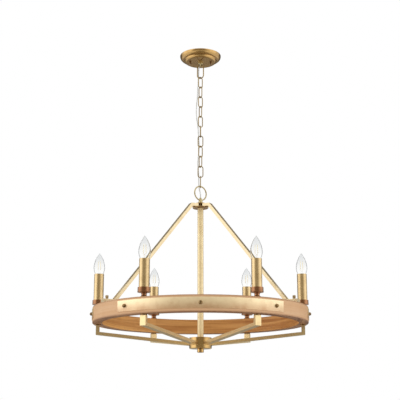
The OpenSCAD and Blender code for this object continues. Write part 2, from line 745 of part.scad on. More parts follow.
module hub_top() {
    color("goldenrod") difference() {
        translate([0, 0, hub_seam + seat]) cylinder(r = hub_r - 0.5, h = hub_top_h - seat);
        translate([0, 0, hub_seam - cut]) cylinder(r = hub_r - 0.5 - hub_wall, h = hub_top_h + cut - hub_wall);
        translate([0, 0, stem_low - 2 * hub_wall]) cylinder(d = pipe_hole, h = 3 * hub_wall);
        arm_notches();
    }
}

module hub_cup() {
    color("goldenrod") difference() {
        translate([0, 0, hub_low]) rotate_extrude() polygon([
            [0, 0], [hub_r - 1.5, 0], [hub_r - 0.5, 1], [hub_r + 0.5, hub_low_h - 3],
            [hub_r + 1, hub_low_h - 2], [hub_r + 1, hub_low_h - seat], [0, hub_low_h - seat]]);
        translate([0, 0, hub_low + hub_wall]) cylinder(r = hub_r - 0.5 - hub_wall, h = hub_low_h);
        translate([0, 0, hub_low - cut]) cylinder(d = pipe_hole, h = hub_wall + 2 * cut);
        arm_notches();
    }
}

module finial() {
    r = finial_d / 2;
    color("goldenrod") difference() {
        translate([0, 0, finial_low]) rotate_extrude($fn = 64) polygon([
            [0, 1.2], [r - 5, 1.2], [r - 4, 0], [r - 1, 0], [r, 1], [r, finial_h - 1],
            [r - 1, finial_h], [0, finial_h]]);
        translate([0, 0, rod_low - seat]) cylinder(d = pipe_d + 2 * seat, h = finial_h);
    }
}

// ---------------------------------------------------------------- nodes

ceiling_strap();
swivel_strap();
strap_nipple();
ground_screw();
canopy();
canopy_screws();
canopy_loop();
wire_connectors();
lead_wires();
supply_cord();
chain_link(1);  // link_01
chain_link(2);  // link_02
chain_link(3);  // link_03
chain_link(4);  // link_04
chain_link(5);  // link_05
chain_link(6);  // link_06
chain_link(7);  // link_07
chain_link(8);  // link_08
chain_link(9);  // link_09
chain_link(10);  // link_10
chain_link(11);  // link_11
chain_link(12);  // link_12
top_loop();
top_plate();
hub_disc();
stem();
centre_rod();
stem_lead();
bar_1();
bar_2();
bar_3();
thumb_knobs();
wood_ring();
band_1();
band_2();
band_3();
band_studs();
candle_nipples();
candle_necks();
candle_cups();
candle_sleeves();
lamp_sockets();
ring_collars();
arm_1();
arm_2();
arm_3();
arm_4();
arm_5();
arm_6();
lamp_wires();
hub_top();
hub_cup();
finial();
bulb_1();
bulb_2();
bulb_3();
bulb_4();
bulb_5();
bulb_6();
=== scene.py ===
import bpy
import bmesh
import json
import math
from mathutils import Matrix, Vector


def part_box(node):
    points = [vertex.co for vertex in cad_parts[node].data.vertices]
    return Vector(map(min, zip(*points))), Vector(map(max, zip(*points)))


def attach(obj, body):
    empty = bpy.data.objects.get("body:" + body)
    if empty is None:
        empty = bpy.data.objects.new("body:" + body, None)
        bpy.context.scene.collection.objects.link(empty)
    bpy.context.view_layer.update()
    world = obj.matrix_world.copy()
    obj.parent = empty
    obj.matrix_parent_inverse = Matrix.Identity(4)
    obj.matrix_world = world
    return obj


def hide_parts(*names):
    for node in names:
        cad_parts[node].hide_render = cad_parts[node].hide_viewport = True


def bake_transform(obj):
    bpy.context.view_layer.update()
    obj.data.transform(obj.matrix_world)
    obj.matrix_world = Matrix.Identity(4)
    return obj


# The lamp hangs from z = 0 down its own Z axis. The photograph's front is -Y. Sizes are in metres.
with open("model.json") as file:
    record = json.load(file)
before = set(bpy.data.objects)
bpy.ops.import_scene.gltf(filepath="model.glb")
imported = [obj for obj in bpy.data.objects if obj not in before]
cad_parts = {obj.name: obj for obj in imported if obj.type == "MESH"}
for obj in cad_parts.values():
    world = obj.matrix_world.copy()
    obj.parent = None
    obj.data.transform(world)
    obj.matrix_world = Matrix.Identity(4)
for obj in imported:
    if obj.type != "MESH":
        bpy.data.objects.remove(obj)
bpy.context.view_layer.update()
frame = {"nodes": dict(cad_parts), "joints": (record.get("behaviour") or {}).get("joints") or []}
cad = frame["nodes"]

# The photograph's viewpoint: low, in front, looking a little upwards
CAMERA_PLACE = (-0.0016, -2.9236, -1.2435)
CAMERA_RISE = 13.927  # degrees above level
LENS_LENGTH = 80.55  # millimetres, on a sensor 36 wide

# Levels, read from the CAD
SOCKET_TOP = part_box("lamp_sockets")[1].z
BULB_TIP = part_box("bulb_1")[1].z
BAND_HEIGHTS = tuple(corner.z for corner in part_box("band_1"))
RING_FOOT, RING_TOP = (corner.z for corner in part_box("wood_ring"))

# Places round the ring, in degrees from the front, and the circle that candles and knobs stand on
CANDLE_ANGLES = (30, 90, 150, -150, -90, -30)
BAR_ANGLES = (60, 180, -60)
CANDLE_CIRCLE = 0.334
RING_BLOCKS = 12

# Slopes of the bars and the arms, as rise over run, for the direction of their brush lines
BAR_SLOPE = math.atan2(0.342, 0.275)
ARM_SLOPE = math.atan2(0.0335, 0.296)


# ---------------------------------------------------------------- camera

def aim_camera():
    """One camera, where the photograph was taken."""
    lens = bpy.data.cameras.new("camera")
    lens.lens = LENS_LENGTH
    lens.sensor_width = 36.0
    lens.clip_end = 60.0
    camera = bpy.data.objects.new("camera", lens)
    camera.location = CAMERA_PLACE
    camera.rotation_euler = (math.radians(90 + CAMERA_RISE), 0, 0)
    bpy.context.scene.collection.objects.link(camera)
    bpy.context.scene.camera = camera


aim_camera()


# ---------------------------------------------------------------- finishes

def shade(red, green, blue):
    """A colour as a screen shows it, 0 to 255, turned into the linear colour a shader takes."""
    def linear(level):
        level /= 255
        return level / 12.92 if level <= 0.04045 else ((level + 0.055) / 1.055) ** 2.4
    return (linear(red), linear(green), linear(blue), 1.0)


class Reading:
    """A socket in a finish. Python's operators on it add the Math nodes."""

    def __init__(self, finish, socket):
        self.finish = finish
        self.socket = socket

    def maths(self, operation, *others):
        return self.finish.maths(operation, self, *others)

    def __add__(self, other):
        return self.maths("ADD", other)

    __radd__ = __add__

    def __sub__(self, other):
        return self.maths("SUBTRACT", other)

    def __rsub__(self, other):
        return self.finish.maths("SUBTRACT", other, self)

    def __mul__(self, other):
        return self.maths("MULTIPLY", other)

    __rmul__ = __mul__

    def __truediv__(self, other):
        return self.maths("DIVIDE", other)

    def __rtruediv__(self, other):
        return self.finish.maths("DIVIDE", other, self)

    def __pow__(self, other):
        return self.maths("POWER", other)

    def __rpow__(self, other):
        return self.finish.maths("POWER", other, self)

    def between(self, low, high):
        """0 below low, 1 above high, smooth in between."""
        limits = {"Value": self, "From Min": low, "From Max": high}
        return self.finish.add("ShaderNodeMapRange", limits, output="Result",
                               interpolation_type="SMOOTHSTEP")

    def clamped(self):
        """Kept from 0 to 1."""
        return self.finish.add("ShaderNodeClamp", {"Value": self})


class Finish:
    """A procedural material, or the world round the lamp, under construction."""

    def __init__(self, name, store=bpy.data.materials):
        self.made = store.new(name)
        self.made.use_nodes = True
        self.tree = self.made.node_tree
        self.tree.nodes.clear()
        self.point = self.add("ShaderNodeTexCoord", output="Object")

    def add(self, kind, inputs=None, output=0, **settings):
        """One node: its settings first, then the numbers or readings of its sockets."""
        node = self.tree.nodes.new(kind)
        for key, value in settings.items():
            setattr(node, key, value)
        for key, value in (inputs or {}).items():
            if isinstance(value, Reading):
                self.tree.links.new(value.socket, node.inputs[key])
            else:
                node.inputs[key].default_value = value
        return Reading(self, node.outputs[output]) if len(node.outputs) else node

    def maths(self, operation, *values):
        """A Math node on readings and plain numbers, in the order given."""
        return self.add("ShaderNodeMath", dict(enumerate(values)), operation=operation)

    def parts(self, vector):
        """The three numbers of a vector."""
        node = self.add("ShaderNodeSeparateXYZ", {0: vector}).socket.node
        return [Reading(self, socket) for socket in node.outputs]

    def vector(self, x, y, z):
        return self.add("ShaderNodeCombineXYZ", {0: x, 1: y, 2: z})

    def stretched(self, size, turn=(0, 0, 0)):
        """The point seen from a turned frame and measured in the given sizes along its axes."""
        measured = {"Vector": self.point, "Rotation": turn, "Scale": size}
        return self.add("ShaderNodeMapping", measured, vector_type="TEXTURE")

    def noise(self, where, detail=3.0, roughness=0.5, along=None):
        """Clouds one unit wide. With a reading for along they also change with that."""
        inputs = {"Vector": where, "Scale": 1.0, "Detail": detail, "Roughness": roughness}
        if along is None:
            return self.add("ShaderNodeTexNoise", inputs)
        inputs["W"] = along
        return self.add("ShaderNodeTexNoise", inputs, noise_dimensions="4D")

    def mix(self, share, first, second):
        """A colour between two colours."""
        colours = {0: share, 6: first, 7: second}
        return self.add("ShaderNodeMix", colours, output=2, data_type="RGBA")

    def bump(self, height, strength, distance):
        relief = {"Height": height, "Strength": strength, "Distance": distance}
        return self.add("ShaderNodeBump", relief)

    def surface(self, **sockets):
        values = {key.replace("_", " ").title().replace("Ior", "IOR"): value
                  for key, value in sockets.items()}
        shader = self.add("ShaderNodeBsdfPrincipled", values)
        self.add("ShaderNodeOutputMaterial", {"Surface": shader})
        return self.made

    def background(self):
        """1 where the camera, metal or glass sees it, 0 where it only gives light."""
        rays = [self.add("ShaderNodeLightPath", output=name)
                for name in ("Is Camera Ray", "Is Glossy Ray", "Is Transmission Ray")]
        return (rays[0] + rays[1] + rays[2]).clamped()


ROUND_LINES = (0.03, 0.03, 0.00055)  # length, length and width of the brush lines on a turned piece
STRAIGHT_LINES = (0.06, 0.0006, 0.0006)  # length, width and width on a straight one


def brass(name, bright, dull, turn=None, rough=0.34, wear=0.5, metal=1.0, painted_shade_heights=None):
    """Lacquered plate with fine brush lines, round a turned piece, or along a straight one that is
    turned so. Given two heights as its last argument, it turns darker downwards between them:
    painted shade."""
    finish = Finish(name)
    size = STRAIGHT_LINES if turn else ROUND_LINES
    lines = finish.noise(finish.stretched(size, turn or (0, 0, 0)), detail=4.0, roughness=0.65)
    clouds = finish.noise(finish.stretched((0.035, 0.035, 0.035)), detail=4.0, roughness=0.6)
    specks = finish.noise(finish.stretched((0.0025, 0.0025, 0.0025)), detail=2.0)
    dulled = (clouds.between(0.42, 0.72) * wear + (lines - 0.5) * 0.14
              + specks.between(0.62, 0.75) * 0.05)
    # Painted shade: darker towards the lower of the two heights.
    if painted_shade_heights:
        dulled = dulled + 0.6 - finish.parts(finish.point)[2].between(*painted_shade_heights) * 0.6
    return finish.surface(
        base_color=finish.mix(dulled.clamped(), bright, dull),
        metallic=metal,
        roughness=(clouds * 0.10 + lines * 0.06 + (rough - 0.08)).clamped(),
        coat_weight=0.6, coat_roughness=0.25,
        normal=finish.bump(lines, 0.05, 0.00002))


def wood():
    """Stained ring: grain runs round its walls and straight along the blocks of its flat faces.
    Painted shade darkens the foot and top edge of its walls and the faces that look down.
    """
    finish = Finish("stained_wood")
    x, y, z = finish.parts(finish.point)
    radius = (x * x + y * y) ** 0.5
    around = (x / radius, y / radius)

    def round_grain(length, fine, detail):
        """Streaks of this length round the ring and this fineness up its wall."""
        reach = 0.35 / length
        return finish.noise(finish.vector(around[0] * reach, around[1] * reach, z * (1 / fine)),
                            detail=detail, roughness=0.6, along=radius * (0.6 / fine))

    broad = round_grain(0.42, 0.016, 3.0)
    figure = round_grain(0.22, 0.0050, 4.0)
    pores = round_grain(0.035, 0.0011, 2.0)

    # The flat faces are straight blocks, each with grain along its own chord
    step = 2 * math.pi / RING_BLOCKS
    angle = y.maths("ARCTAN2", x)
    piece = (angle * (1 / step)).maths("FLOOR")
    middle = (piece + 0.5) * step
    across = x * middle.maths("COSINE") + y * middle.maths("SINE")
    length = y * middle.maths("COSINE") - x * middle.maths("SINE")
    lean = length * 0.22
    flat_broad = finish.noise(finish.vector((across + lean) * 70.0, length * 3.0, piece * 7.3),
                              detail=3.0, roughness=0.6)
    flat_fine = finish.noise(finish.vector((across + lean) * 420.0, length * 9.0, piece * 3.1),
                             detail=3.0, roughness=0.6)
    joint = ((angle * (1 / step)).maths("FRACT") - 0.5).maths("ABSOLUTE").between(0.494, 0.4985)

    facing_up = finish.parts(finish.add("ShaderNodeNewGeometry", output="Normal"))[2]
    flat = facing_up.maths("ABSOLUTE").between(0.6, 0.8)
    under = (facing_up * -1).between(0.6, 0.8)

    # 0 at the inner wall, 1 at the outer one
    outside = radius.between(0.330, 0.340)
    tone = broad.between(0.36, 0.66) * 0.55 + figure.between(0.40, 0.64) * 0.45
    block = finish.noise(finish.vector(piece * 2.7, 0.4, 1.3), detail=0.0).between(0.3, 0.7) - 0.5
    outer = finish.mix(tone * 0.4 + block * 0.2 + 0.3, shade(202, 154, 109), shade(226, 187, 146))
    inner = finish.mix(tone * 0.7 + block * 0.40 + 0.13, shade(160, 99, 40), shade(224, 167, 97))
    # Painted shade: a darker strip along the foot of the walls and a fainter one along their top
    # edge.
    painted_shade_edges = ((z * -1 + (RING_FOOT + 0.007)).between(0.0, 0.0065) * 0.6
                 + (z - (RING_TOP - 0.0065)).between(0.0, 0.0055) * 0.4)
    wall = finish.mix(outside, inner, finish.mix(painted_shade_edges, outer, shade(120, 70, 44)))
    flat_tone = flat_broad.between(0.36, 0.64) * 0.7 + flat_fine.between(0.4, 0.62) * 0.3
    face = finish.mix(flat_tone, shade(122, 74, 42), shade(202, 151, 104))
    # Painted shade: the faces that look down are darkened.
    face = finish.mix(under * 0.45, face, shade(84, 38, 20))
    face = finish.mix(joint * 0.75, face, shade(96, 60, 34))
    colour = finish.mix(flat, wall, face)
    pore = pores.between(0.60, 0.72) * (1 - flat) + flat_fine.between(0.64, 0.74) * flat
    colour = finish.mix(pore * (0.38 - outside * 0.22), colour, shade(120, 76, 44))
    height = ((figure * 0.6 - pore * 0.8) * (1 - flat)
              + (flat_fine * 0.6 - joint * 0.9 - pore * 0.5) * flat)
    return finish.surface(
        base_color=colour,
        roughness=(tone * -0.14 + pore * 0.12 + 0.56).clamped(),
        specular_ior_level=0.35,
        normal=finish.bump(height, 0.35, 0.00035))


def plain_steel(name, colour, dull, pitch=None):
    """Zinc or plain steel; with a pitch it also shows the turns of a thread, with painted shade in
    their grooves.
    """
    finish = Finish(name)
    clouds = finish.noise(finish.stretched((0.012, 0.012, 0.012)), detail=4.0, roughness=0.6)
    specks = finish.noise(finish.stretched((0.0014, 0.0014, 0.0014)), detail=2.0)
    height = specks * 0.1
    dulled = clouds.between(0.35, 0.7)
    if pitch:
        turns = (finish.parts(finish.point)[2] * (2 * math.pi / pitch)).maths("SINE") * 0.5 + 0.5
        height = height + turns * 3.0
        # The grooves between the turns are painted darker: painted shade.
        dulled = dulled * 0.6 + (1 - turns) * 0.4
    return finish.surface(
        base_color=finish.mix(dulled, colour, dull), metallic=1.0,
        roughness=(clouds * 0.20 + 0.26).clamped(),
        normal=finish.bump(height, 0.15, 0.0001))


def moulded(name, colour, dull, rough=0.45, grain=0.0009):
    """Moulded plastic: a faint fine grain and slightly uneven gloss."""
    finish = Finish(name)
    fine = finish.noise(finish.stretched((grain, grain, grain)), detail=2.0)
    broad = finish.noise(finish.stretched((0.01, 0.01, 0.01)), detail=3.0)
    return finish.surface(
        base_color=finish.mix(broad.between(0.35, 0.7), colour, dull),
        roughness=(fine * 0.12 + broad * 0.1 + (rough - 0.1)).clamped(),
        normal=finish.bump(fine, 0.2, 0.00008))


TWIST_LENGTH = 0.055  # the cord's conductors turn once round each other in this length


def clear_cord():
    """A clear grey cover over two stranded conductors that twist slowly inside it."""
    finish = Finish("clear_cord")
    length, way_round = finish.parts(finish.add("ShaderNodeUVMap", uv_map="run"))[:2]
    turn = way_round * (2 * math.pi) + length * (2 * math.pi / TWIST_LENGTH)
    wires = (turn * 2.0).maths("COSINE").between(0.1, 0.9)
    strands = (turn * 14.0 + length * 900.0).maths("SINE") * 0.5 + 0.5
    core = finish.mix(strands * 0.6, shade(206, 200, 190), shade(160, 150, 138))
    cover = finish.noise(finish.stretched((0.004, 0.004, 0.004)), detail=2.0)
    skin = finish.mix(cover.between(0.3, 0.7), shade(226, 228, 226), shade(208, 211, 210))
    return finish.surface(
        base_color=finish.mix(wires * 0.55, skin, core),
        roughness=(cover * 0.15 + 0.2).clamped(),
        coat_weight=0.6, coat_roughness=0.08,
        normal=finish.bump(cover, 0.15, 0.0002))


def bulb_glass():
    """Thin clear glass with a few faint ripples, painted grey at its rim as a painted reflection
    and faintly grey towards its tip as painted shade.
    """
    finish = Finish("bulb_glass")
    ripple = finish.noise(finish.stretched((0.018, 0.018, 0.03)), detail=1.0)
    edge = finish.add("ShaderNodeLayerWeight", {"Blend": 0.5}, output="Facing")
    height = finish.parts(finish.point)[2].between(SOCKET_TOP + 0.018, BULB_TIP)
    # Painted shade: the glass colour turns faintly grey towards the tip.
    clear = finish.mix(height, shade(255, 255, 254), shade(240, 241, 241))
    return finish.surface(
        # Painted reflection: the rim is painted grey.
        base_color=finish.mix(edge.between(0.40, 0.95), clear, shade(120, 122, 124)),
        roughness=(ripple * 0.01).clamped(),
        transmission_weight=1.0, ior=1.08,
        normal=finish.bump(ripple, 0.04, 0.0002))


FINISHES = {
    # The brass parts share one plating. Their colours differ from part to part to match how light
    # falls on each, so these differences are partly painted light and shade; within each finish the
    # bright and dull colours are wear.
    "turned": brass("brass_turned", shade(210, 183, 134), shade(185, 156, 106)),
    # The stem's light, mostly diffuse brass is a painted lit look.
    "stem": brass("brass_stem", shade(247, 226, 177), shade(232, 206, 152), rough=0.42, metal=0.35),
    "drum": brass("brass_drum", shade(197, 160, 98), shade(160, 122, 64), rough=0.16),
    # The top plate and the hub disc get a darker brass: painted shade, where they sit between the
    # bars.
    "hub": brass("brass_hub_painted_shade", shade(170, 136, 84), shade(130, 96, 52), rough=0.32),
    "wire": brass("brass_wire", shade(154, 131, 82), shade(112, 91, 50), rough=0.30, wear=0.7),
    "loop": brass("brass_loop", shade(178, 160, 112), shade(144, 126, 80), rough=0.30, wear=0.7),
    "knob": brass("brass_knob", shade(176, 152, 110), shade(140, 114, 76), rough=0.34),
    # The canopy's darker brass is painted shade on its downward face.
    "canopy": brass("brass_spun", shade(184, 147, 87), shade(150, 116, 62), rough=0.25),
    "nut": brass("canopy_nut", shade(134, 110, 82), shade(110, 86, 58), rough=0.36),
    "bronze": brass("bronze_turned", shade(140, 106, 64), shade(92, 64, 36), rough=0.36, wear=0.8),
    "stud": brass("stud_turned", shade(146, 117, 72), shade(92, 68, 38), rough=0.13, wear=0.7),
    "copper": brass("copper_spun", shade(160, 110, 70), shade(98, 56, 28), rough=0.25, wear=0.7),
    # The band turns darker towards its foot: painted shade.
    "band": brass("brass_band", shade(250, 229, 184), shade(178, 124, 76), rough=0.42, wear=0.2,
                  metal=0.5, painted_shade_heights=BAND_HEIGHTS),
    "wood": wood(),
    "thread": plain_steel("threaded_steel", shade(196, 192, 182), shade(146, 140, 128),
                          pitch=0.001),
    "zinc": plain_steel("zinc_plate", shade(205, 206, 204), shade(160, 161, 158)),
    "green": moulded("green_paint", shade(40, 128, 66), shade(28, 98, 50), rough=0.3),
    "orange": moulded("orange_plastic", shade(232, 120, 46), shade(208, 98, 34), rough=0.4),
    "wire_cover": moulded("wire_cover", shade(236, 235, 228), shade(216, 214, 206), rough=0.4),
    "socket": moulded("socket_plastic", shade(236, 230, 214), shade(218, 210, 192), rough=0.5),
    "black": moulded("black_base", shade(40, 38, 36), shade(26, 25, 24), rough=0.4),
    "cord": clear_cord(),
    "glass": bulb_glass(),
    "filament": moulded("filament", shade(252, 238, 200), shade(246, 226, 176), rough=0.5),
}
for number, angle in enumerate(BAR_ANGLES, 1):
    FINISHES["bar_%d" % number] = brass(
        "brass_bar_%d" % number, shade(216, 197, 158), shade(196, 172, 128),
        turn=(0, BAR_SLOPE, math.radians(angle - 90)))
for number, angle in enumerate(CANDLE_ANGLES, 1):
    FINISHES["arm_%d" % number] = brass(
        "brass_arm_%d" % number, shade(222, 198, 148), shade(198, 171, 120),
        turn=(0, -ARM_SLOPE, math.radians(angle - 90)))

LINKS = ["link_%02d" % number for number in range(1, 13)]
BULBS = ["bulb_%d" % number for number in range(1, 7)]
# The CAD nodes that wear each finish
WEARS = {
    "canopy": ["canopy"],
    "wire": LINKS,
    "loop": ["canopy_loop", "top_loop"],
    "turned": ["candle_sleeves"],
    "drum": ["hub_top", "hub_cup", "finial"],
    "stem": ["stem"],
    "hub": ["top_plate", "hub_disc"],
    "nut": ["canopy_screws"],
    "bronze": ["thumb_knobs", "ring_collars"],
    "stud": ["band_studs"],
    "copper": ["candle_cups", "candle_necks"],
    "band": ["band_1", "band_2", "band_3"],
    "wood": ["wood_ring"],
    "thread": ["centre_rod", "candle_nipples", "strap_nipple"],
    "zinc": ["ceiling_strap", "swivel_strap"],
    "green": ["ground_screw"],
    "orange": ["wire_connectors"],
    "wire_cover": ["lead_wires", "lamp_wires", "stem_lead"],
    "socket": ["lamp_sockets"],
    "cord": ["supply_cord"],
    "glass": BULBS,
}
for name in ["bar_1", "bar_2", "bar_3"] + ["arm_%d" % number for number in range(1, 7)]:
    WEARS[name] = [name]


def dress(node, finish):
    """Give a CAD node its finish in every slot."""
    slots = cad[node].data.materials
    if len(slots) == 0:
        slots.append(FINISHES[finish])
    for index in range(len(slots)):
        slots[index] = FINISHES[finish]


for finish, nodes in WEARS.items():
    for node in nodes:
        dress(node, finish)


# ---------------------------------------------------------------- shapes

def placed(name, mesh):
    """An object at the origin."""
    piece = bpy.data.objects.new(name, mesh)
    bpy.context.scene.collection.objects.link(piece)
    return piece


def new_piece(name, mesh, finish, body):
    """An object at the origin that rides on a body. Without a finish the mesh keeps its own."""
    if finish:
        mesh.materials.clear()
        mesh.materials.append(FINISHES[finish])
    piece = placed(name, mesh)
    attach(piece, body)
    return piece


def ring_of(centre, radius, sides):
    """Points round a circle, as x and y."""
    turns = [2 * math.pi * side / sides for side in range(sides)]
    return [(centre[0] + radius * math.cos(turn), centre[1] + radius * math.sin(turn))
            for turn in turns]


def lathe_mesh(name, outline, centre, sides=64):
    """A turned mesh: the outline runs (radius, height) along the outside from bottom to top."""
    mesh = bpy.data.meshes.new(name)
    work = bmesh.new()
    rings = []
    for radius, height in outline:
        if radius < 1e-6:
            rings.append([work.verts.new((centre[0], centre[1], height))])
        else:
            rings.append([work.verts.new((x, y, height))
                          for x, y in ring_of(centre, radius, sides)])
    for low, high in zip(rings, rings[1:]):
        for s in range(sides):
            t = (s + 1) % sides
            corners = []
            for vert in (low[s % len(low)], low[t % len(low)],
                         high[t % len(high)], high[s % len(high)]):
                if vert not in corners:
                    corners.append(vert)
            if len(corners) > 2:
                work.faces.new(corners)
    bmesh.ops.recalc_face_normals(work, faces=work.faces)
    for face in work.faces:
        face.smooth = True
    work.to_mesh(mesh)
    work.free()
    mesh.set_sharp_from_angle(angle=math.radians(35))
    return mesh


def on_ring(angle):
    """The spot on the candles' circle at so many degrees from the front, as x and y."""
    turn = math.radians(angle)
    return (CANDLE_CIRCLE * math.sin(turn), -CANDLE_CIRCLE * math.cos(turn))


class Pattern:
    """A Geometry Nodes tree under construction, with named inputs for its sizes and its finish."""

    def __init__(self, name, **sizes):
        self.tree = bpy.data.node_groups.new(name, "GeometryNodeTree")
        face = self.tree.interface
        face.new_socket("Geometry", in_out="OUTPUT", socket_type="NodeSocketGeometry")
        for label, value in sizes.items():
            kind = "NodeSocketInt" if isinstance(value, int) else "NodeSocketFloat"
            face.new_socket(label.title(), in_out="INPUT", socket_type=kind).default_value = value
        face.new_socket("Foot", in_out="INPUT", socket_type="NodeSocketVector")
        face.new_socket("Finish", in_out="INPUT", socket_type="NodeSocketMaterial")
        self.given = self.tree.nodes.new("NodeGroupInput").outputs

    def add(self, kind, **sockets):
        """One node: numbers for its sockets, or outputs to link to them. Gives its first output."""
        node = self.tree.nodes.new(kind)
        for label, value in sockets.items():
            socket = node.inputs[label.replace("_", " ").title()]
            if isinstance(value, bpy.types.NodeSocket):
                self.tree.links.new(value, socket)
            else:
                socket.default_value = value
        return node.outputs[0] if len(node.outputs) else None

    def finished(self, copies, smooth):
        """Turn the copies into a plain mesh in their finish."""
        whole = self.add("GeometryNodeRealizeInstances", geometry=copies)
        if smooth:
            whole = self.add("GeometryNodeSetShadeSmooth", geometry=whole)
        painted = self.add("GeometryNodeSetMaterial", geometry=whole,
                           material=self.given["Finish"])
        self.add("NodeGroupOutput", geometry=painted)
        return self.tree


def thread_pattern():
    """Rounded rings up a cap, one for each turn of its thread."""
    thread = Pattern("cap_thread", turns=5, pitch=0.0018, radius=0.0056, wire=0.0006)
    given = thread.given
    ring = thread.add("GeometryNodeCurvePrimitiveCircle", resolution=48, radius=given["Radius"])
    wire = thread.add("GeometryNodeCurvePrimitiveCircle", resolution=10, radius=given["Wire"])
    turn = thread.add("GeometryNodeCurveToMesh", curve=ring, profile_curve=wire)
    rise = thread.add("ShaderNodeCombineXYZ", z=given["Pitch"])
    line = thread.add("GeometryNodeMeshLine", count=given["Turns"], start_location=given["Foot"],
                      offset=rise)
    turns = thread.add("GeometryNodeInstanceOnPoints", points=line, instance=turn)
    return thread.finished(turns, smooth=True)


def ridge_pattern():
    """Upright ridges round the rim of a knob."""
    grip = Pattern("grip_ridges", count=24, radius=0.005, wire=0.0004, height=0.007)
    given = grip.given
    rim = grip.add("GeometryNodeMeshCircle", vertices=given["Count"], radius=given["Radius"])
    ridge = grip.add("GeometryNodeMeshCylinder", vertices=8, radius=given["Wire"],
                     depth=given["Height"])
    ridges = grip.add("GeometryNodeInstanceOnPoints", points=rim, instance=ridge)
    lifted = grip.add("GeometryNodeTransform", geometry=ridges, translation=given["Foot"])
    return grip.finished(lifted, smooth=False)


def grown(name, tree, values, body):
    """Run a tree with the given inputs and keep its result as a plain mesh on a body."""
    seed = placed(name + "_seed", bpy.data.meshes.new(name + "_seed"))
    modifier = seed.modifiers.new("grow", "NODES")
    modifier.node_group = tree
    for item in tree.interface.items_tree:
        if item.in_out == "INPUT" and item.name in values:
            modifier[item.identifier] = values[item.name]
    bpy.context.view_layer.update()
    result = seed.evaluated_get(bpy.context.evaluated_depsgraph_get())
    mesh = bpy.data.meshes.new_from_object(result)
    bpy.data.objects.remove(seed)
    return new_piece(name, mesh, None, body)


THREAD = thread_pattern()
RIDGES = ridge_pattern()


# ---------------------------------------------------------------- bulbs

MOUTH_RADIUS = 0.007
BELLY_RADIUS = 0.0185
BELLY_SHARE = 0.42  # how far up the glass its belly lies
GLASS_WALL = 0.0008
GLASS_STEPS = 36
CAP_DEPTH = 0.0205  # from the socket's top down to the cap's contact


def glass_outline(wall):
    """The bulb's glass from its mouth over the belly to the tip, set in by a wall."""
    low = SOCKET_TOP + 0.0005
    height = BULB_TIP - low
    outline = []
    for step in range(GLASS_STEPS):
        share = step / GLASS_STEPS
        if share < BELLY_SHARE:
            swell = math.sin(math.pi / 2 * share / BELLY_SHARE) ** 1.15
            radius = MOUTH_RADIUS + (BELLY_RADIUS - MOUTH_RADIUS) * swell
        else:
            above = (share - BELLY_SHARE) / (1 - BELLY_SHARE)
            radius = BELLY_RADIUS * math.cos(math.pi / 2 * above) ** 0.82
        outline.append((max(radius - wall, 0.0002), low + share * (height - wall)))
    outline.append((0.0, low + height - wall))
    return outline


def glass_shell(number, centre):
    """The bulb's glass with both of its walls, joined at the mouth."""
    outer, inner = glass_outline(0.0), glass_outline(GLASS_WALL)
    lip = [(inner[0][0], outer[0][1])]
    shell = lathe_mesh("glass_%d" % number, lip + outer, centre)
    bubble = lathe_mesh("bubble_%d" % number, lip + inner[1:], centre)
    work = bmesh.new()
    work.from_mesh(shell)
    bubble.flip_normals()
    work.from_mesh(bubble)
    bmesh.ops.remove_doubles(work, verts=work.verts, dist=1e-6)
    for face in work.faces:
        face.smooth = True
    work.to_mesh(shell)
    work.free()
    bpy.data.meshes.remove(bubble)
    return shell


def filament_rods(number, centre, foot):
    """Two thin rods side by side on the inner stem, each held by a finer wire at both ends."""
    rods = bmesh.new()
    for side in (-1, 1):
        for low, high, offset_low, offset_high, width in (
                (0.022, 0.030, 0.0016, 0.0042, 0.00025),
                (0.030, 0.056, 0.0042, 0.0036, 0.0008),
                (0.056, 0.060, 0.0036, 0.0006, 0.00025)):
            start = Vector((centre[0] + side * offset_low, centre[1], foot + low))
            end = Vector((centre[0] + side * offset_high, centre[1], foot + high))
            run = end - start
            spin = Vector((0, 0, 1)).rotation_difference(run).to_matrix().to_4x4()
            middle = Matrix.Translation((start + end) / 2)
            bmesh.ops.create_cone(rods, cap_ends=True, segments=10, radius1=width, radius2=width,
                                  depth=run.length, matrix=middle @ spin)
    mesh = bpy.data.meshes.new("filament_%d" % number)
    for face in rods.faces:
        face.smooth = len(face.verts) == 4
    rods.to_mesh(mesh)
    rods.free()
    return mesh


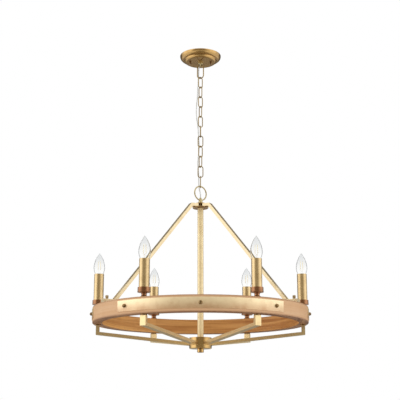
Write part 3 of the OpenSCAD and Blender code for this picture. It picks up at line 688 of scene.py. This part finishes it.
def make_bulb(number, body, angle):
    """Glass with both walls, a threaded cap on a dark base, and the rods on the inner stem."""
    centre = on_ring(angle)
    cap_low = SOCKET_TOP - CAP_DEPTH
    shell = glass_shell(number, centre)
    glass = new_piece("bulb_glass_%d" % number, shell, "glass", body)
    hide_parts(body)

    cap = lathe_mesh("cap_%d" % number, [
        (0.0, cap_low + 0.002), (0.0042, cap_low + 0.002), (0.0050, cap_low + 0.0032),
        (0.0055, cap_low + 0.0045), (0.0055, SOCKET_TOP - 0.0035), (0.0058, SOCKET_TOP - 0.0022),
        (0.0058, SOCKET_TOP + 0.0003), (0.0066, SOCKET_TOP + 0.0004), (0.0066, SOCKET_TOP + 0.0008),
        (0.0, SOCKET_TOP + 0.0008)], centre, 48)
    new_piece("bulb_cap_%d" % number, cap, "zinc", body)
    base = lathe_mesh("base_%d" % number, [
        (0.0, cap_low), (0.0022, cap_low), (0.0026, cap_low + 0.0004), (0.0044, cap_low + 0.0014),
        (0.0044, cap_low + 0.0022), (0.0, cap_low + 0.0022)], centre, 32)
    new_piece("bulb_base_%d" % number, base, "black", body)
    grown("bulb_thread_%d" % number, THREAD,
          {"Turns": 6, "Pitch": 0.0019, "Radius": 0.0053, "Wire": 0.0006,
           "Foot": (centre[0], centre[1], cap_low + 0.0052), "Finish": FINISHES["zinc"]},
          body)

    foot = SOCKET_TOP + 0.0008
    stem = lathe_mesh("inner_stem_%d" % number, [
        (0.0, foot), (0.0048, foot), (0.0036, foot + 0.004), (0.0020, foot + 0.010),
        (0.0018, foot + 0.022), (0.0026, foot + 0.025), (0.0014, foot + 0.028),
        (0.0, foot + 0.0285)], centre, 32)
    new_piece("bulb_stem_%d" % number, stem, "glass", body)
    rods = filament_rods(number, centre, foot)
    new_piece("bulb_filament_%d" % number, rods, "filament", body)


for number, (bulb, angle) in enumerate(zip(BULBS, CANDLE_ANGLES), 1):
    make_bulb(number, bulb, angle)


# ---------------------------------------------------------------- thumb knobs

def make_knobs():
    """Turned knobs with a ridged grip, on the screws that hold the bars' feet."""
    bottom, top = (corner.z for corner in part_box("thumb_knobs"))
    base = top - 0.012
    whole = bmesh.new()
    for number, angle in enumerate(BAR_ANGLES, 1):
        centre = on_ring(angle)
        mesh = lathe_mesh("knob", [
            (0.0, bottom), (0.0025, bottom), (0.0025, base), (0.0065, base),
            (0.0065, base + 0.0010), (0.0060, base + 0.0015), (0.0037, base + 0.0020),
            (0.0034, base + 0.0034), (0.0042, base + 0.0038), (0.0046, base + 0.0042),
            (0.0046, top - 0.0014), (0.0042, top - 0.0005), (0.0034, top), (0.0, top)], centre, 48)
        whole.from_mesh(mesh)
        bpy.data.meshes.remove(mesh)
        grown("knob_ridges_%d" % number, RIDGES,
              {"Count": 22, "Radius": 0.0046, "Wire": 0.00038, "Height": 0.0060,
               "Foot": (centre[0], centre[1], base + 0.0075), "Finish": FINISHES["knob"]},
              "fixture")
    mesh = bpy.data.meshes.new("knobs")
    whole.to_mesh(mesh)
    whole.free()
    mesh.set_sharp_from_angle(angle=math.radians(35))
    knobs = new_piece("knobs", mesh, "knob", "fixture")
    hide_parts("thumb_knobs")


make_knobs()


# ---------------------------------------------------------------- supply cord

# The route of part.scad, in millimetres, which curve_through turns into metres
ROUTE = [
    (0, 0, -6), (0, 0, -22), (-0.6, 0.9, -26.5), (-2.5, 3.6, -30.3), (-4.3, 6.2, -34.8),
    (-5.6, 7.8, -40), (-6, 8, -50), (-6.5, 8, -64), (-7.5, 8, -80), (-8, 6, -94), (-8.5, 5, -108),
    (-9.5, 3.5, -120),
    (-10, 2, -138), (-11, 0, -156), (-13, 0, -176), (-14, 0, -196), (-14, 0, -216), (-12, 1, -236),
    (-9.5, 2, -252), (-8, 4, -268), (-7, 6, -284), (-6, 7, -300), (-5, 7, -318), (-5, 7, -336),
    (-6, 5, -354), (-8, 2.5, -372), (-9, 2, -388), (-8.5, 3.5, -400), (-7.5, 5.5, -410),
    (-6.5, 6, -424), (-6, 6, -440), (-6, 6, -456), (-5, 6.5, -469), (-4, 5.5, -479), (-2, 3, -489),
    (0, 0, -500), (0, 0, -508), (0, 0, -521.5)]
CORD_RADIUS = 0.0018


def curve_through(points, steps):
    """A smooth line through the points, with the given steps between each pair."""
    points = [Vector(point) / 1000 for point in points]
    line = []
    for i in range(len(points) - 1):
        a, b = points[max(i - 1, 0)], points[i]
        c, d = points[i + 1], points[min(i + 2, len(points) - 1)]
        for step in range(steps):
            s = step / steps
            line.append(0.5 * (2 * b + (c - a) * s + (2 * a - 5 * b + 4 * c - d) * s * s
                               + (3 * b - a - 3 * c + d) * s ** 3))
    line.append(points[-1])
    return line


def tube_mesh(name, line, radius, start_length, sides=16):
    """A closed round tube along a line. Its UV map holds metres along it and turns round it."""
    mesh = bpy.data.meshes.new(name)
    work = bmesh.new()
    layer = work.loops.layers.uv.new("run")
    rings, lengths = [], []
    travelled = start_length
    for i, point in enumerate(line):
        if i:
            travelled += (point - line[i - 1]).length
        lengths.append(travelled)
        heading = (line[min(i + 1, len(line) - 1)] - line[max(i - 1, 0)]).normalized()
        side = heading.cross(Vector((0, 1, 0))).normalized()
        front = heading.cross(side)
        rings.append([work.verts.new(point + radius * (math.cos(2 * math.pi * s / sides) * side
                                                       + math.sin(2 * math.pi * s / sides) * front))
                      for s in range(sides)])
    for i in range(len(rings) - 1):
        for s in range(sides):
            t = (s + 1) % sides
            face = work.faces.new((rings[i][s], rings[i + 1][s], rings[i + 1][t], rings[i][t]))
            face.smooth = True
            corners = ((i, s), (i + 1, s), (i + 1, s + 1), (i, s + 1))
            for loop, (row, column) in zip(face.loops, corners):
                loop[layer].uv = (lengths[row], column / sides)
    work.faces.new(rings[0])
    work.faces.new(list(reversed(rings[-1])))
    bmesh.ops.recalc_face_normals(work, faces=work.faces)
    work.to_mesh(mesh)
    work.free()
    return mesh


def make_cord():
    """The cord in one length for each joint of the chain, cut at the middle of each link."""
    line = curve_through(ROUTE, 8)
    middles = [(low.z + high.z) / 2 for low, high in (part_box(name) for name in LINKS)]
    ends = [1.0] + middles + [-9.0]  # the first and the last lie beyond the cord
    hinges = [joint["pos_m"][2] for joint in frame["joints"] if joint["type"] == "hinge"]
    pieces, travelled = [], 0.0
    for number, hinge in enumerate(hinges):
        top, low = ends[number], ends[number + 1]
        run = [point for point in line if low < point.z < top]
        for above, below in zip(line, line[1:]):
            for level in (top, low):
                if below.z < level <= above.z:
                    cut = above.lerp(below, (above.z - level) / (above.z - below.z))
                    run.insert(0 if level == top else len(run), cut)
        mesh = tube_mesh("cord_run_%02d" % number, run, CORD_RADIUS, travelled)
        travelled += sum((after - before).length for before, after in zip(run, run[1:]))
        mesh.materials.append(FINISHES["cord"])
        piece = placed("cord_run_%02d" % number, mesh)
        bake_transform(piece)
        pieces.append(piece)
    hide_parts("supply_cord")


make_cord()


# ---------------------------------------------------------------- room and lights

SURROUND = 0.74  # strength of the light from all round
FLOOR_LEVEL = -1.95
FLOOR_REACH = 7.0
FLOOR_GLOW = 0.32  # added where the floor is seen, so that it turns white
# Grey cards: name, width, near edge and far edge as (y, z), and grey level
CARDS = (
    ("front_card", 10.2, (-4.2, -1.94), (-4.2, 1.6), 0.37),
    ("back_card", 12.0, (4.2, -1.1), (4.2, 3.6), 0.13),
    ("back_foot", 12.0, (4.2, -1.94), (4.2, -1.1), 0.42),
    ("low_card", 1.8, (-2.6, -1.93), (4.1, -1.93), 0.34))
CARD_TINT = (1.0, 0.90, 0.72)
# Lamps: name, place and power in watts
LAMPS = (("key", (-3.4, -1.0, 0.5), 54.0), ("fill", (3.3, -1.7, 0.4), 42.0))
LAMP_SIZE = 4.8
LAMP_AIM = Vector((0, 0, -0.8))


def lay_floor():
    """A pale floor, white where it is seen as background."""
    work = bmesh.new()
    bmesh.ops.create_grid(work, x_segments=2, y_segments=2, size=FLOOR_REACH)
    bmesh.ops.translate(work, verts=work.verts, vec=(0, 0, FLOOR_LEVEL))
    mesh = bpy.data.meshes.new("floor")
    work.to_mesh(mesh)
    work.free()
    pale = Finish("pale_floor")
    paint = pale.surface(base_color=(0.86, 0.86, 0.85, 1), roughness=0.9,
                         emission_color=pale.background(), emission_strength=FLOOR_GLOW)
    paint.cycles.emission_sampling = "NONE"
    mesh.materials.append(paint)
    floor = placed("floor", mesh)


def stand_cards():
    """Grey cards round the lamp that only metal reflects, for the dark stripes in it."""
    for name, width, (near, foot), (far, high), level in CARDS:
        card = bpy.data.meshes.new(name)
        side = width / 2
        card.from_pydata([(-side, near, foot), (side, near, foot), (side, far, high),
                          (-side, far, high)], [], [(0, 1, 2, 3)])
        grey = Finish(name)
        colour = [level * tint for tint in CARD_TINT] + [1.0]
        glow = grey.add("ShaderNodeEmission", {"Color": colour})
        grey.add("ShaderNodeOutputMaterial", {"Surface": glow})
        grey.made.cycles.emission_sampling = "NONE"
        card.materials.append(grey.made)
        panel = placed(name, card)
        panel.visible_camera = False
        panel.visible_diffuse = False
        panel.visible_transmission = False
        panel.visible_shadow = False


def light_room():
    """A plain surround, white where it is seen, and two large soft lamps."""
    room = Finish("room", bpy.data.worlds)
    room.made.cycles.sampling_method = "NONE"
    soft = room.add("ShaderNodeBackground", {"Color": (1, 0.985, 0.96, 1), "Strength": SURROUND})
    white = room.add("ShaderNodeBackground", {"Color": (1, 1, 1, 1), "Strength": 1.0})
    both = room.add("ShaderNodeMixShader", {0: room.background(), 1: soft, 2: white})
    room.add("ShaderNodeOutputWorld", {"Surface": both})
    bpy.context.scene.world = room.made
    for name, place, power in LAMPS:
        lamp = bpy.data.lights.new(name, "AREA")
        lamp.shape = "SQUARE"
        lamp.size = LAMP_SIZE
        lamp.energy = power
        light = placed(name, lamp)
        light.location = place
        light.rotation_euler = (LAMP_AIM - Vector(place)).to_track_quat("-Z", "Y").to_euler()


lay_floor()
stand_cards()
light_room()
bpy.context.scene.view_settings.view_transform = "Standard"
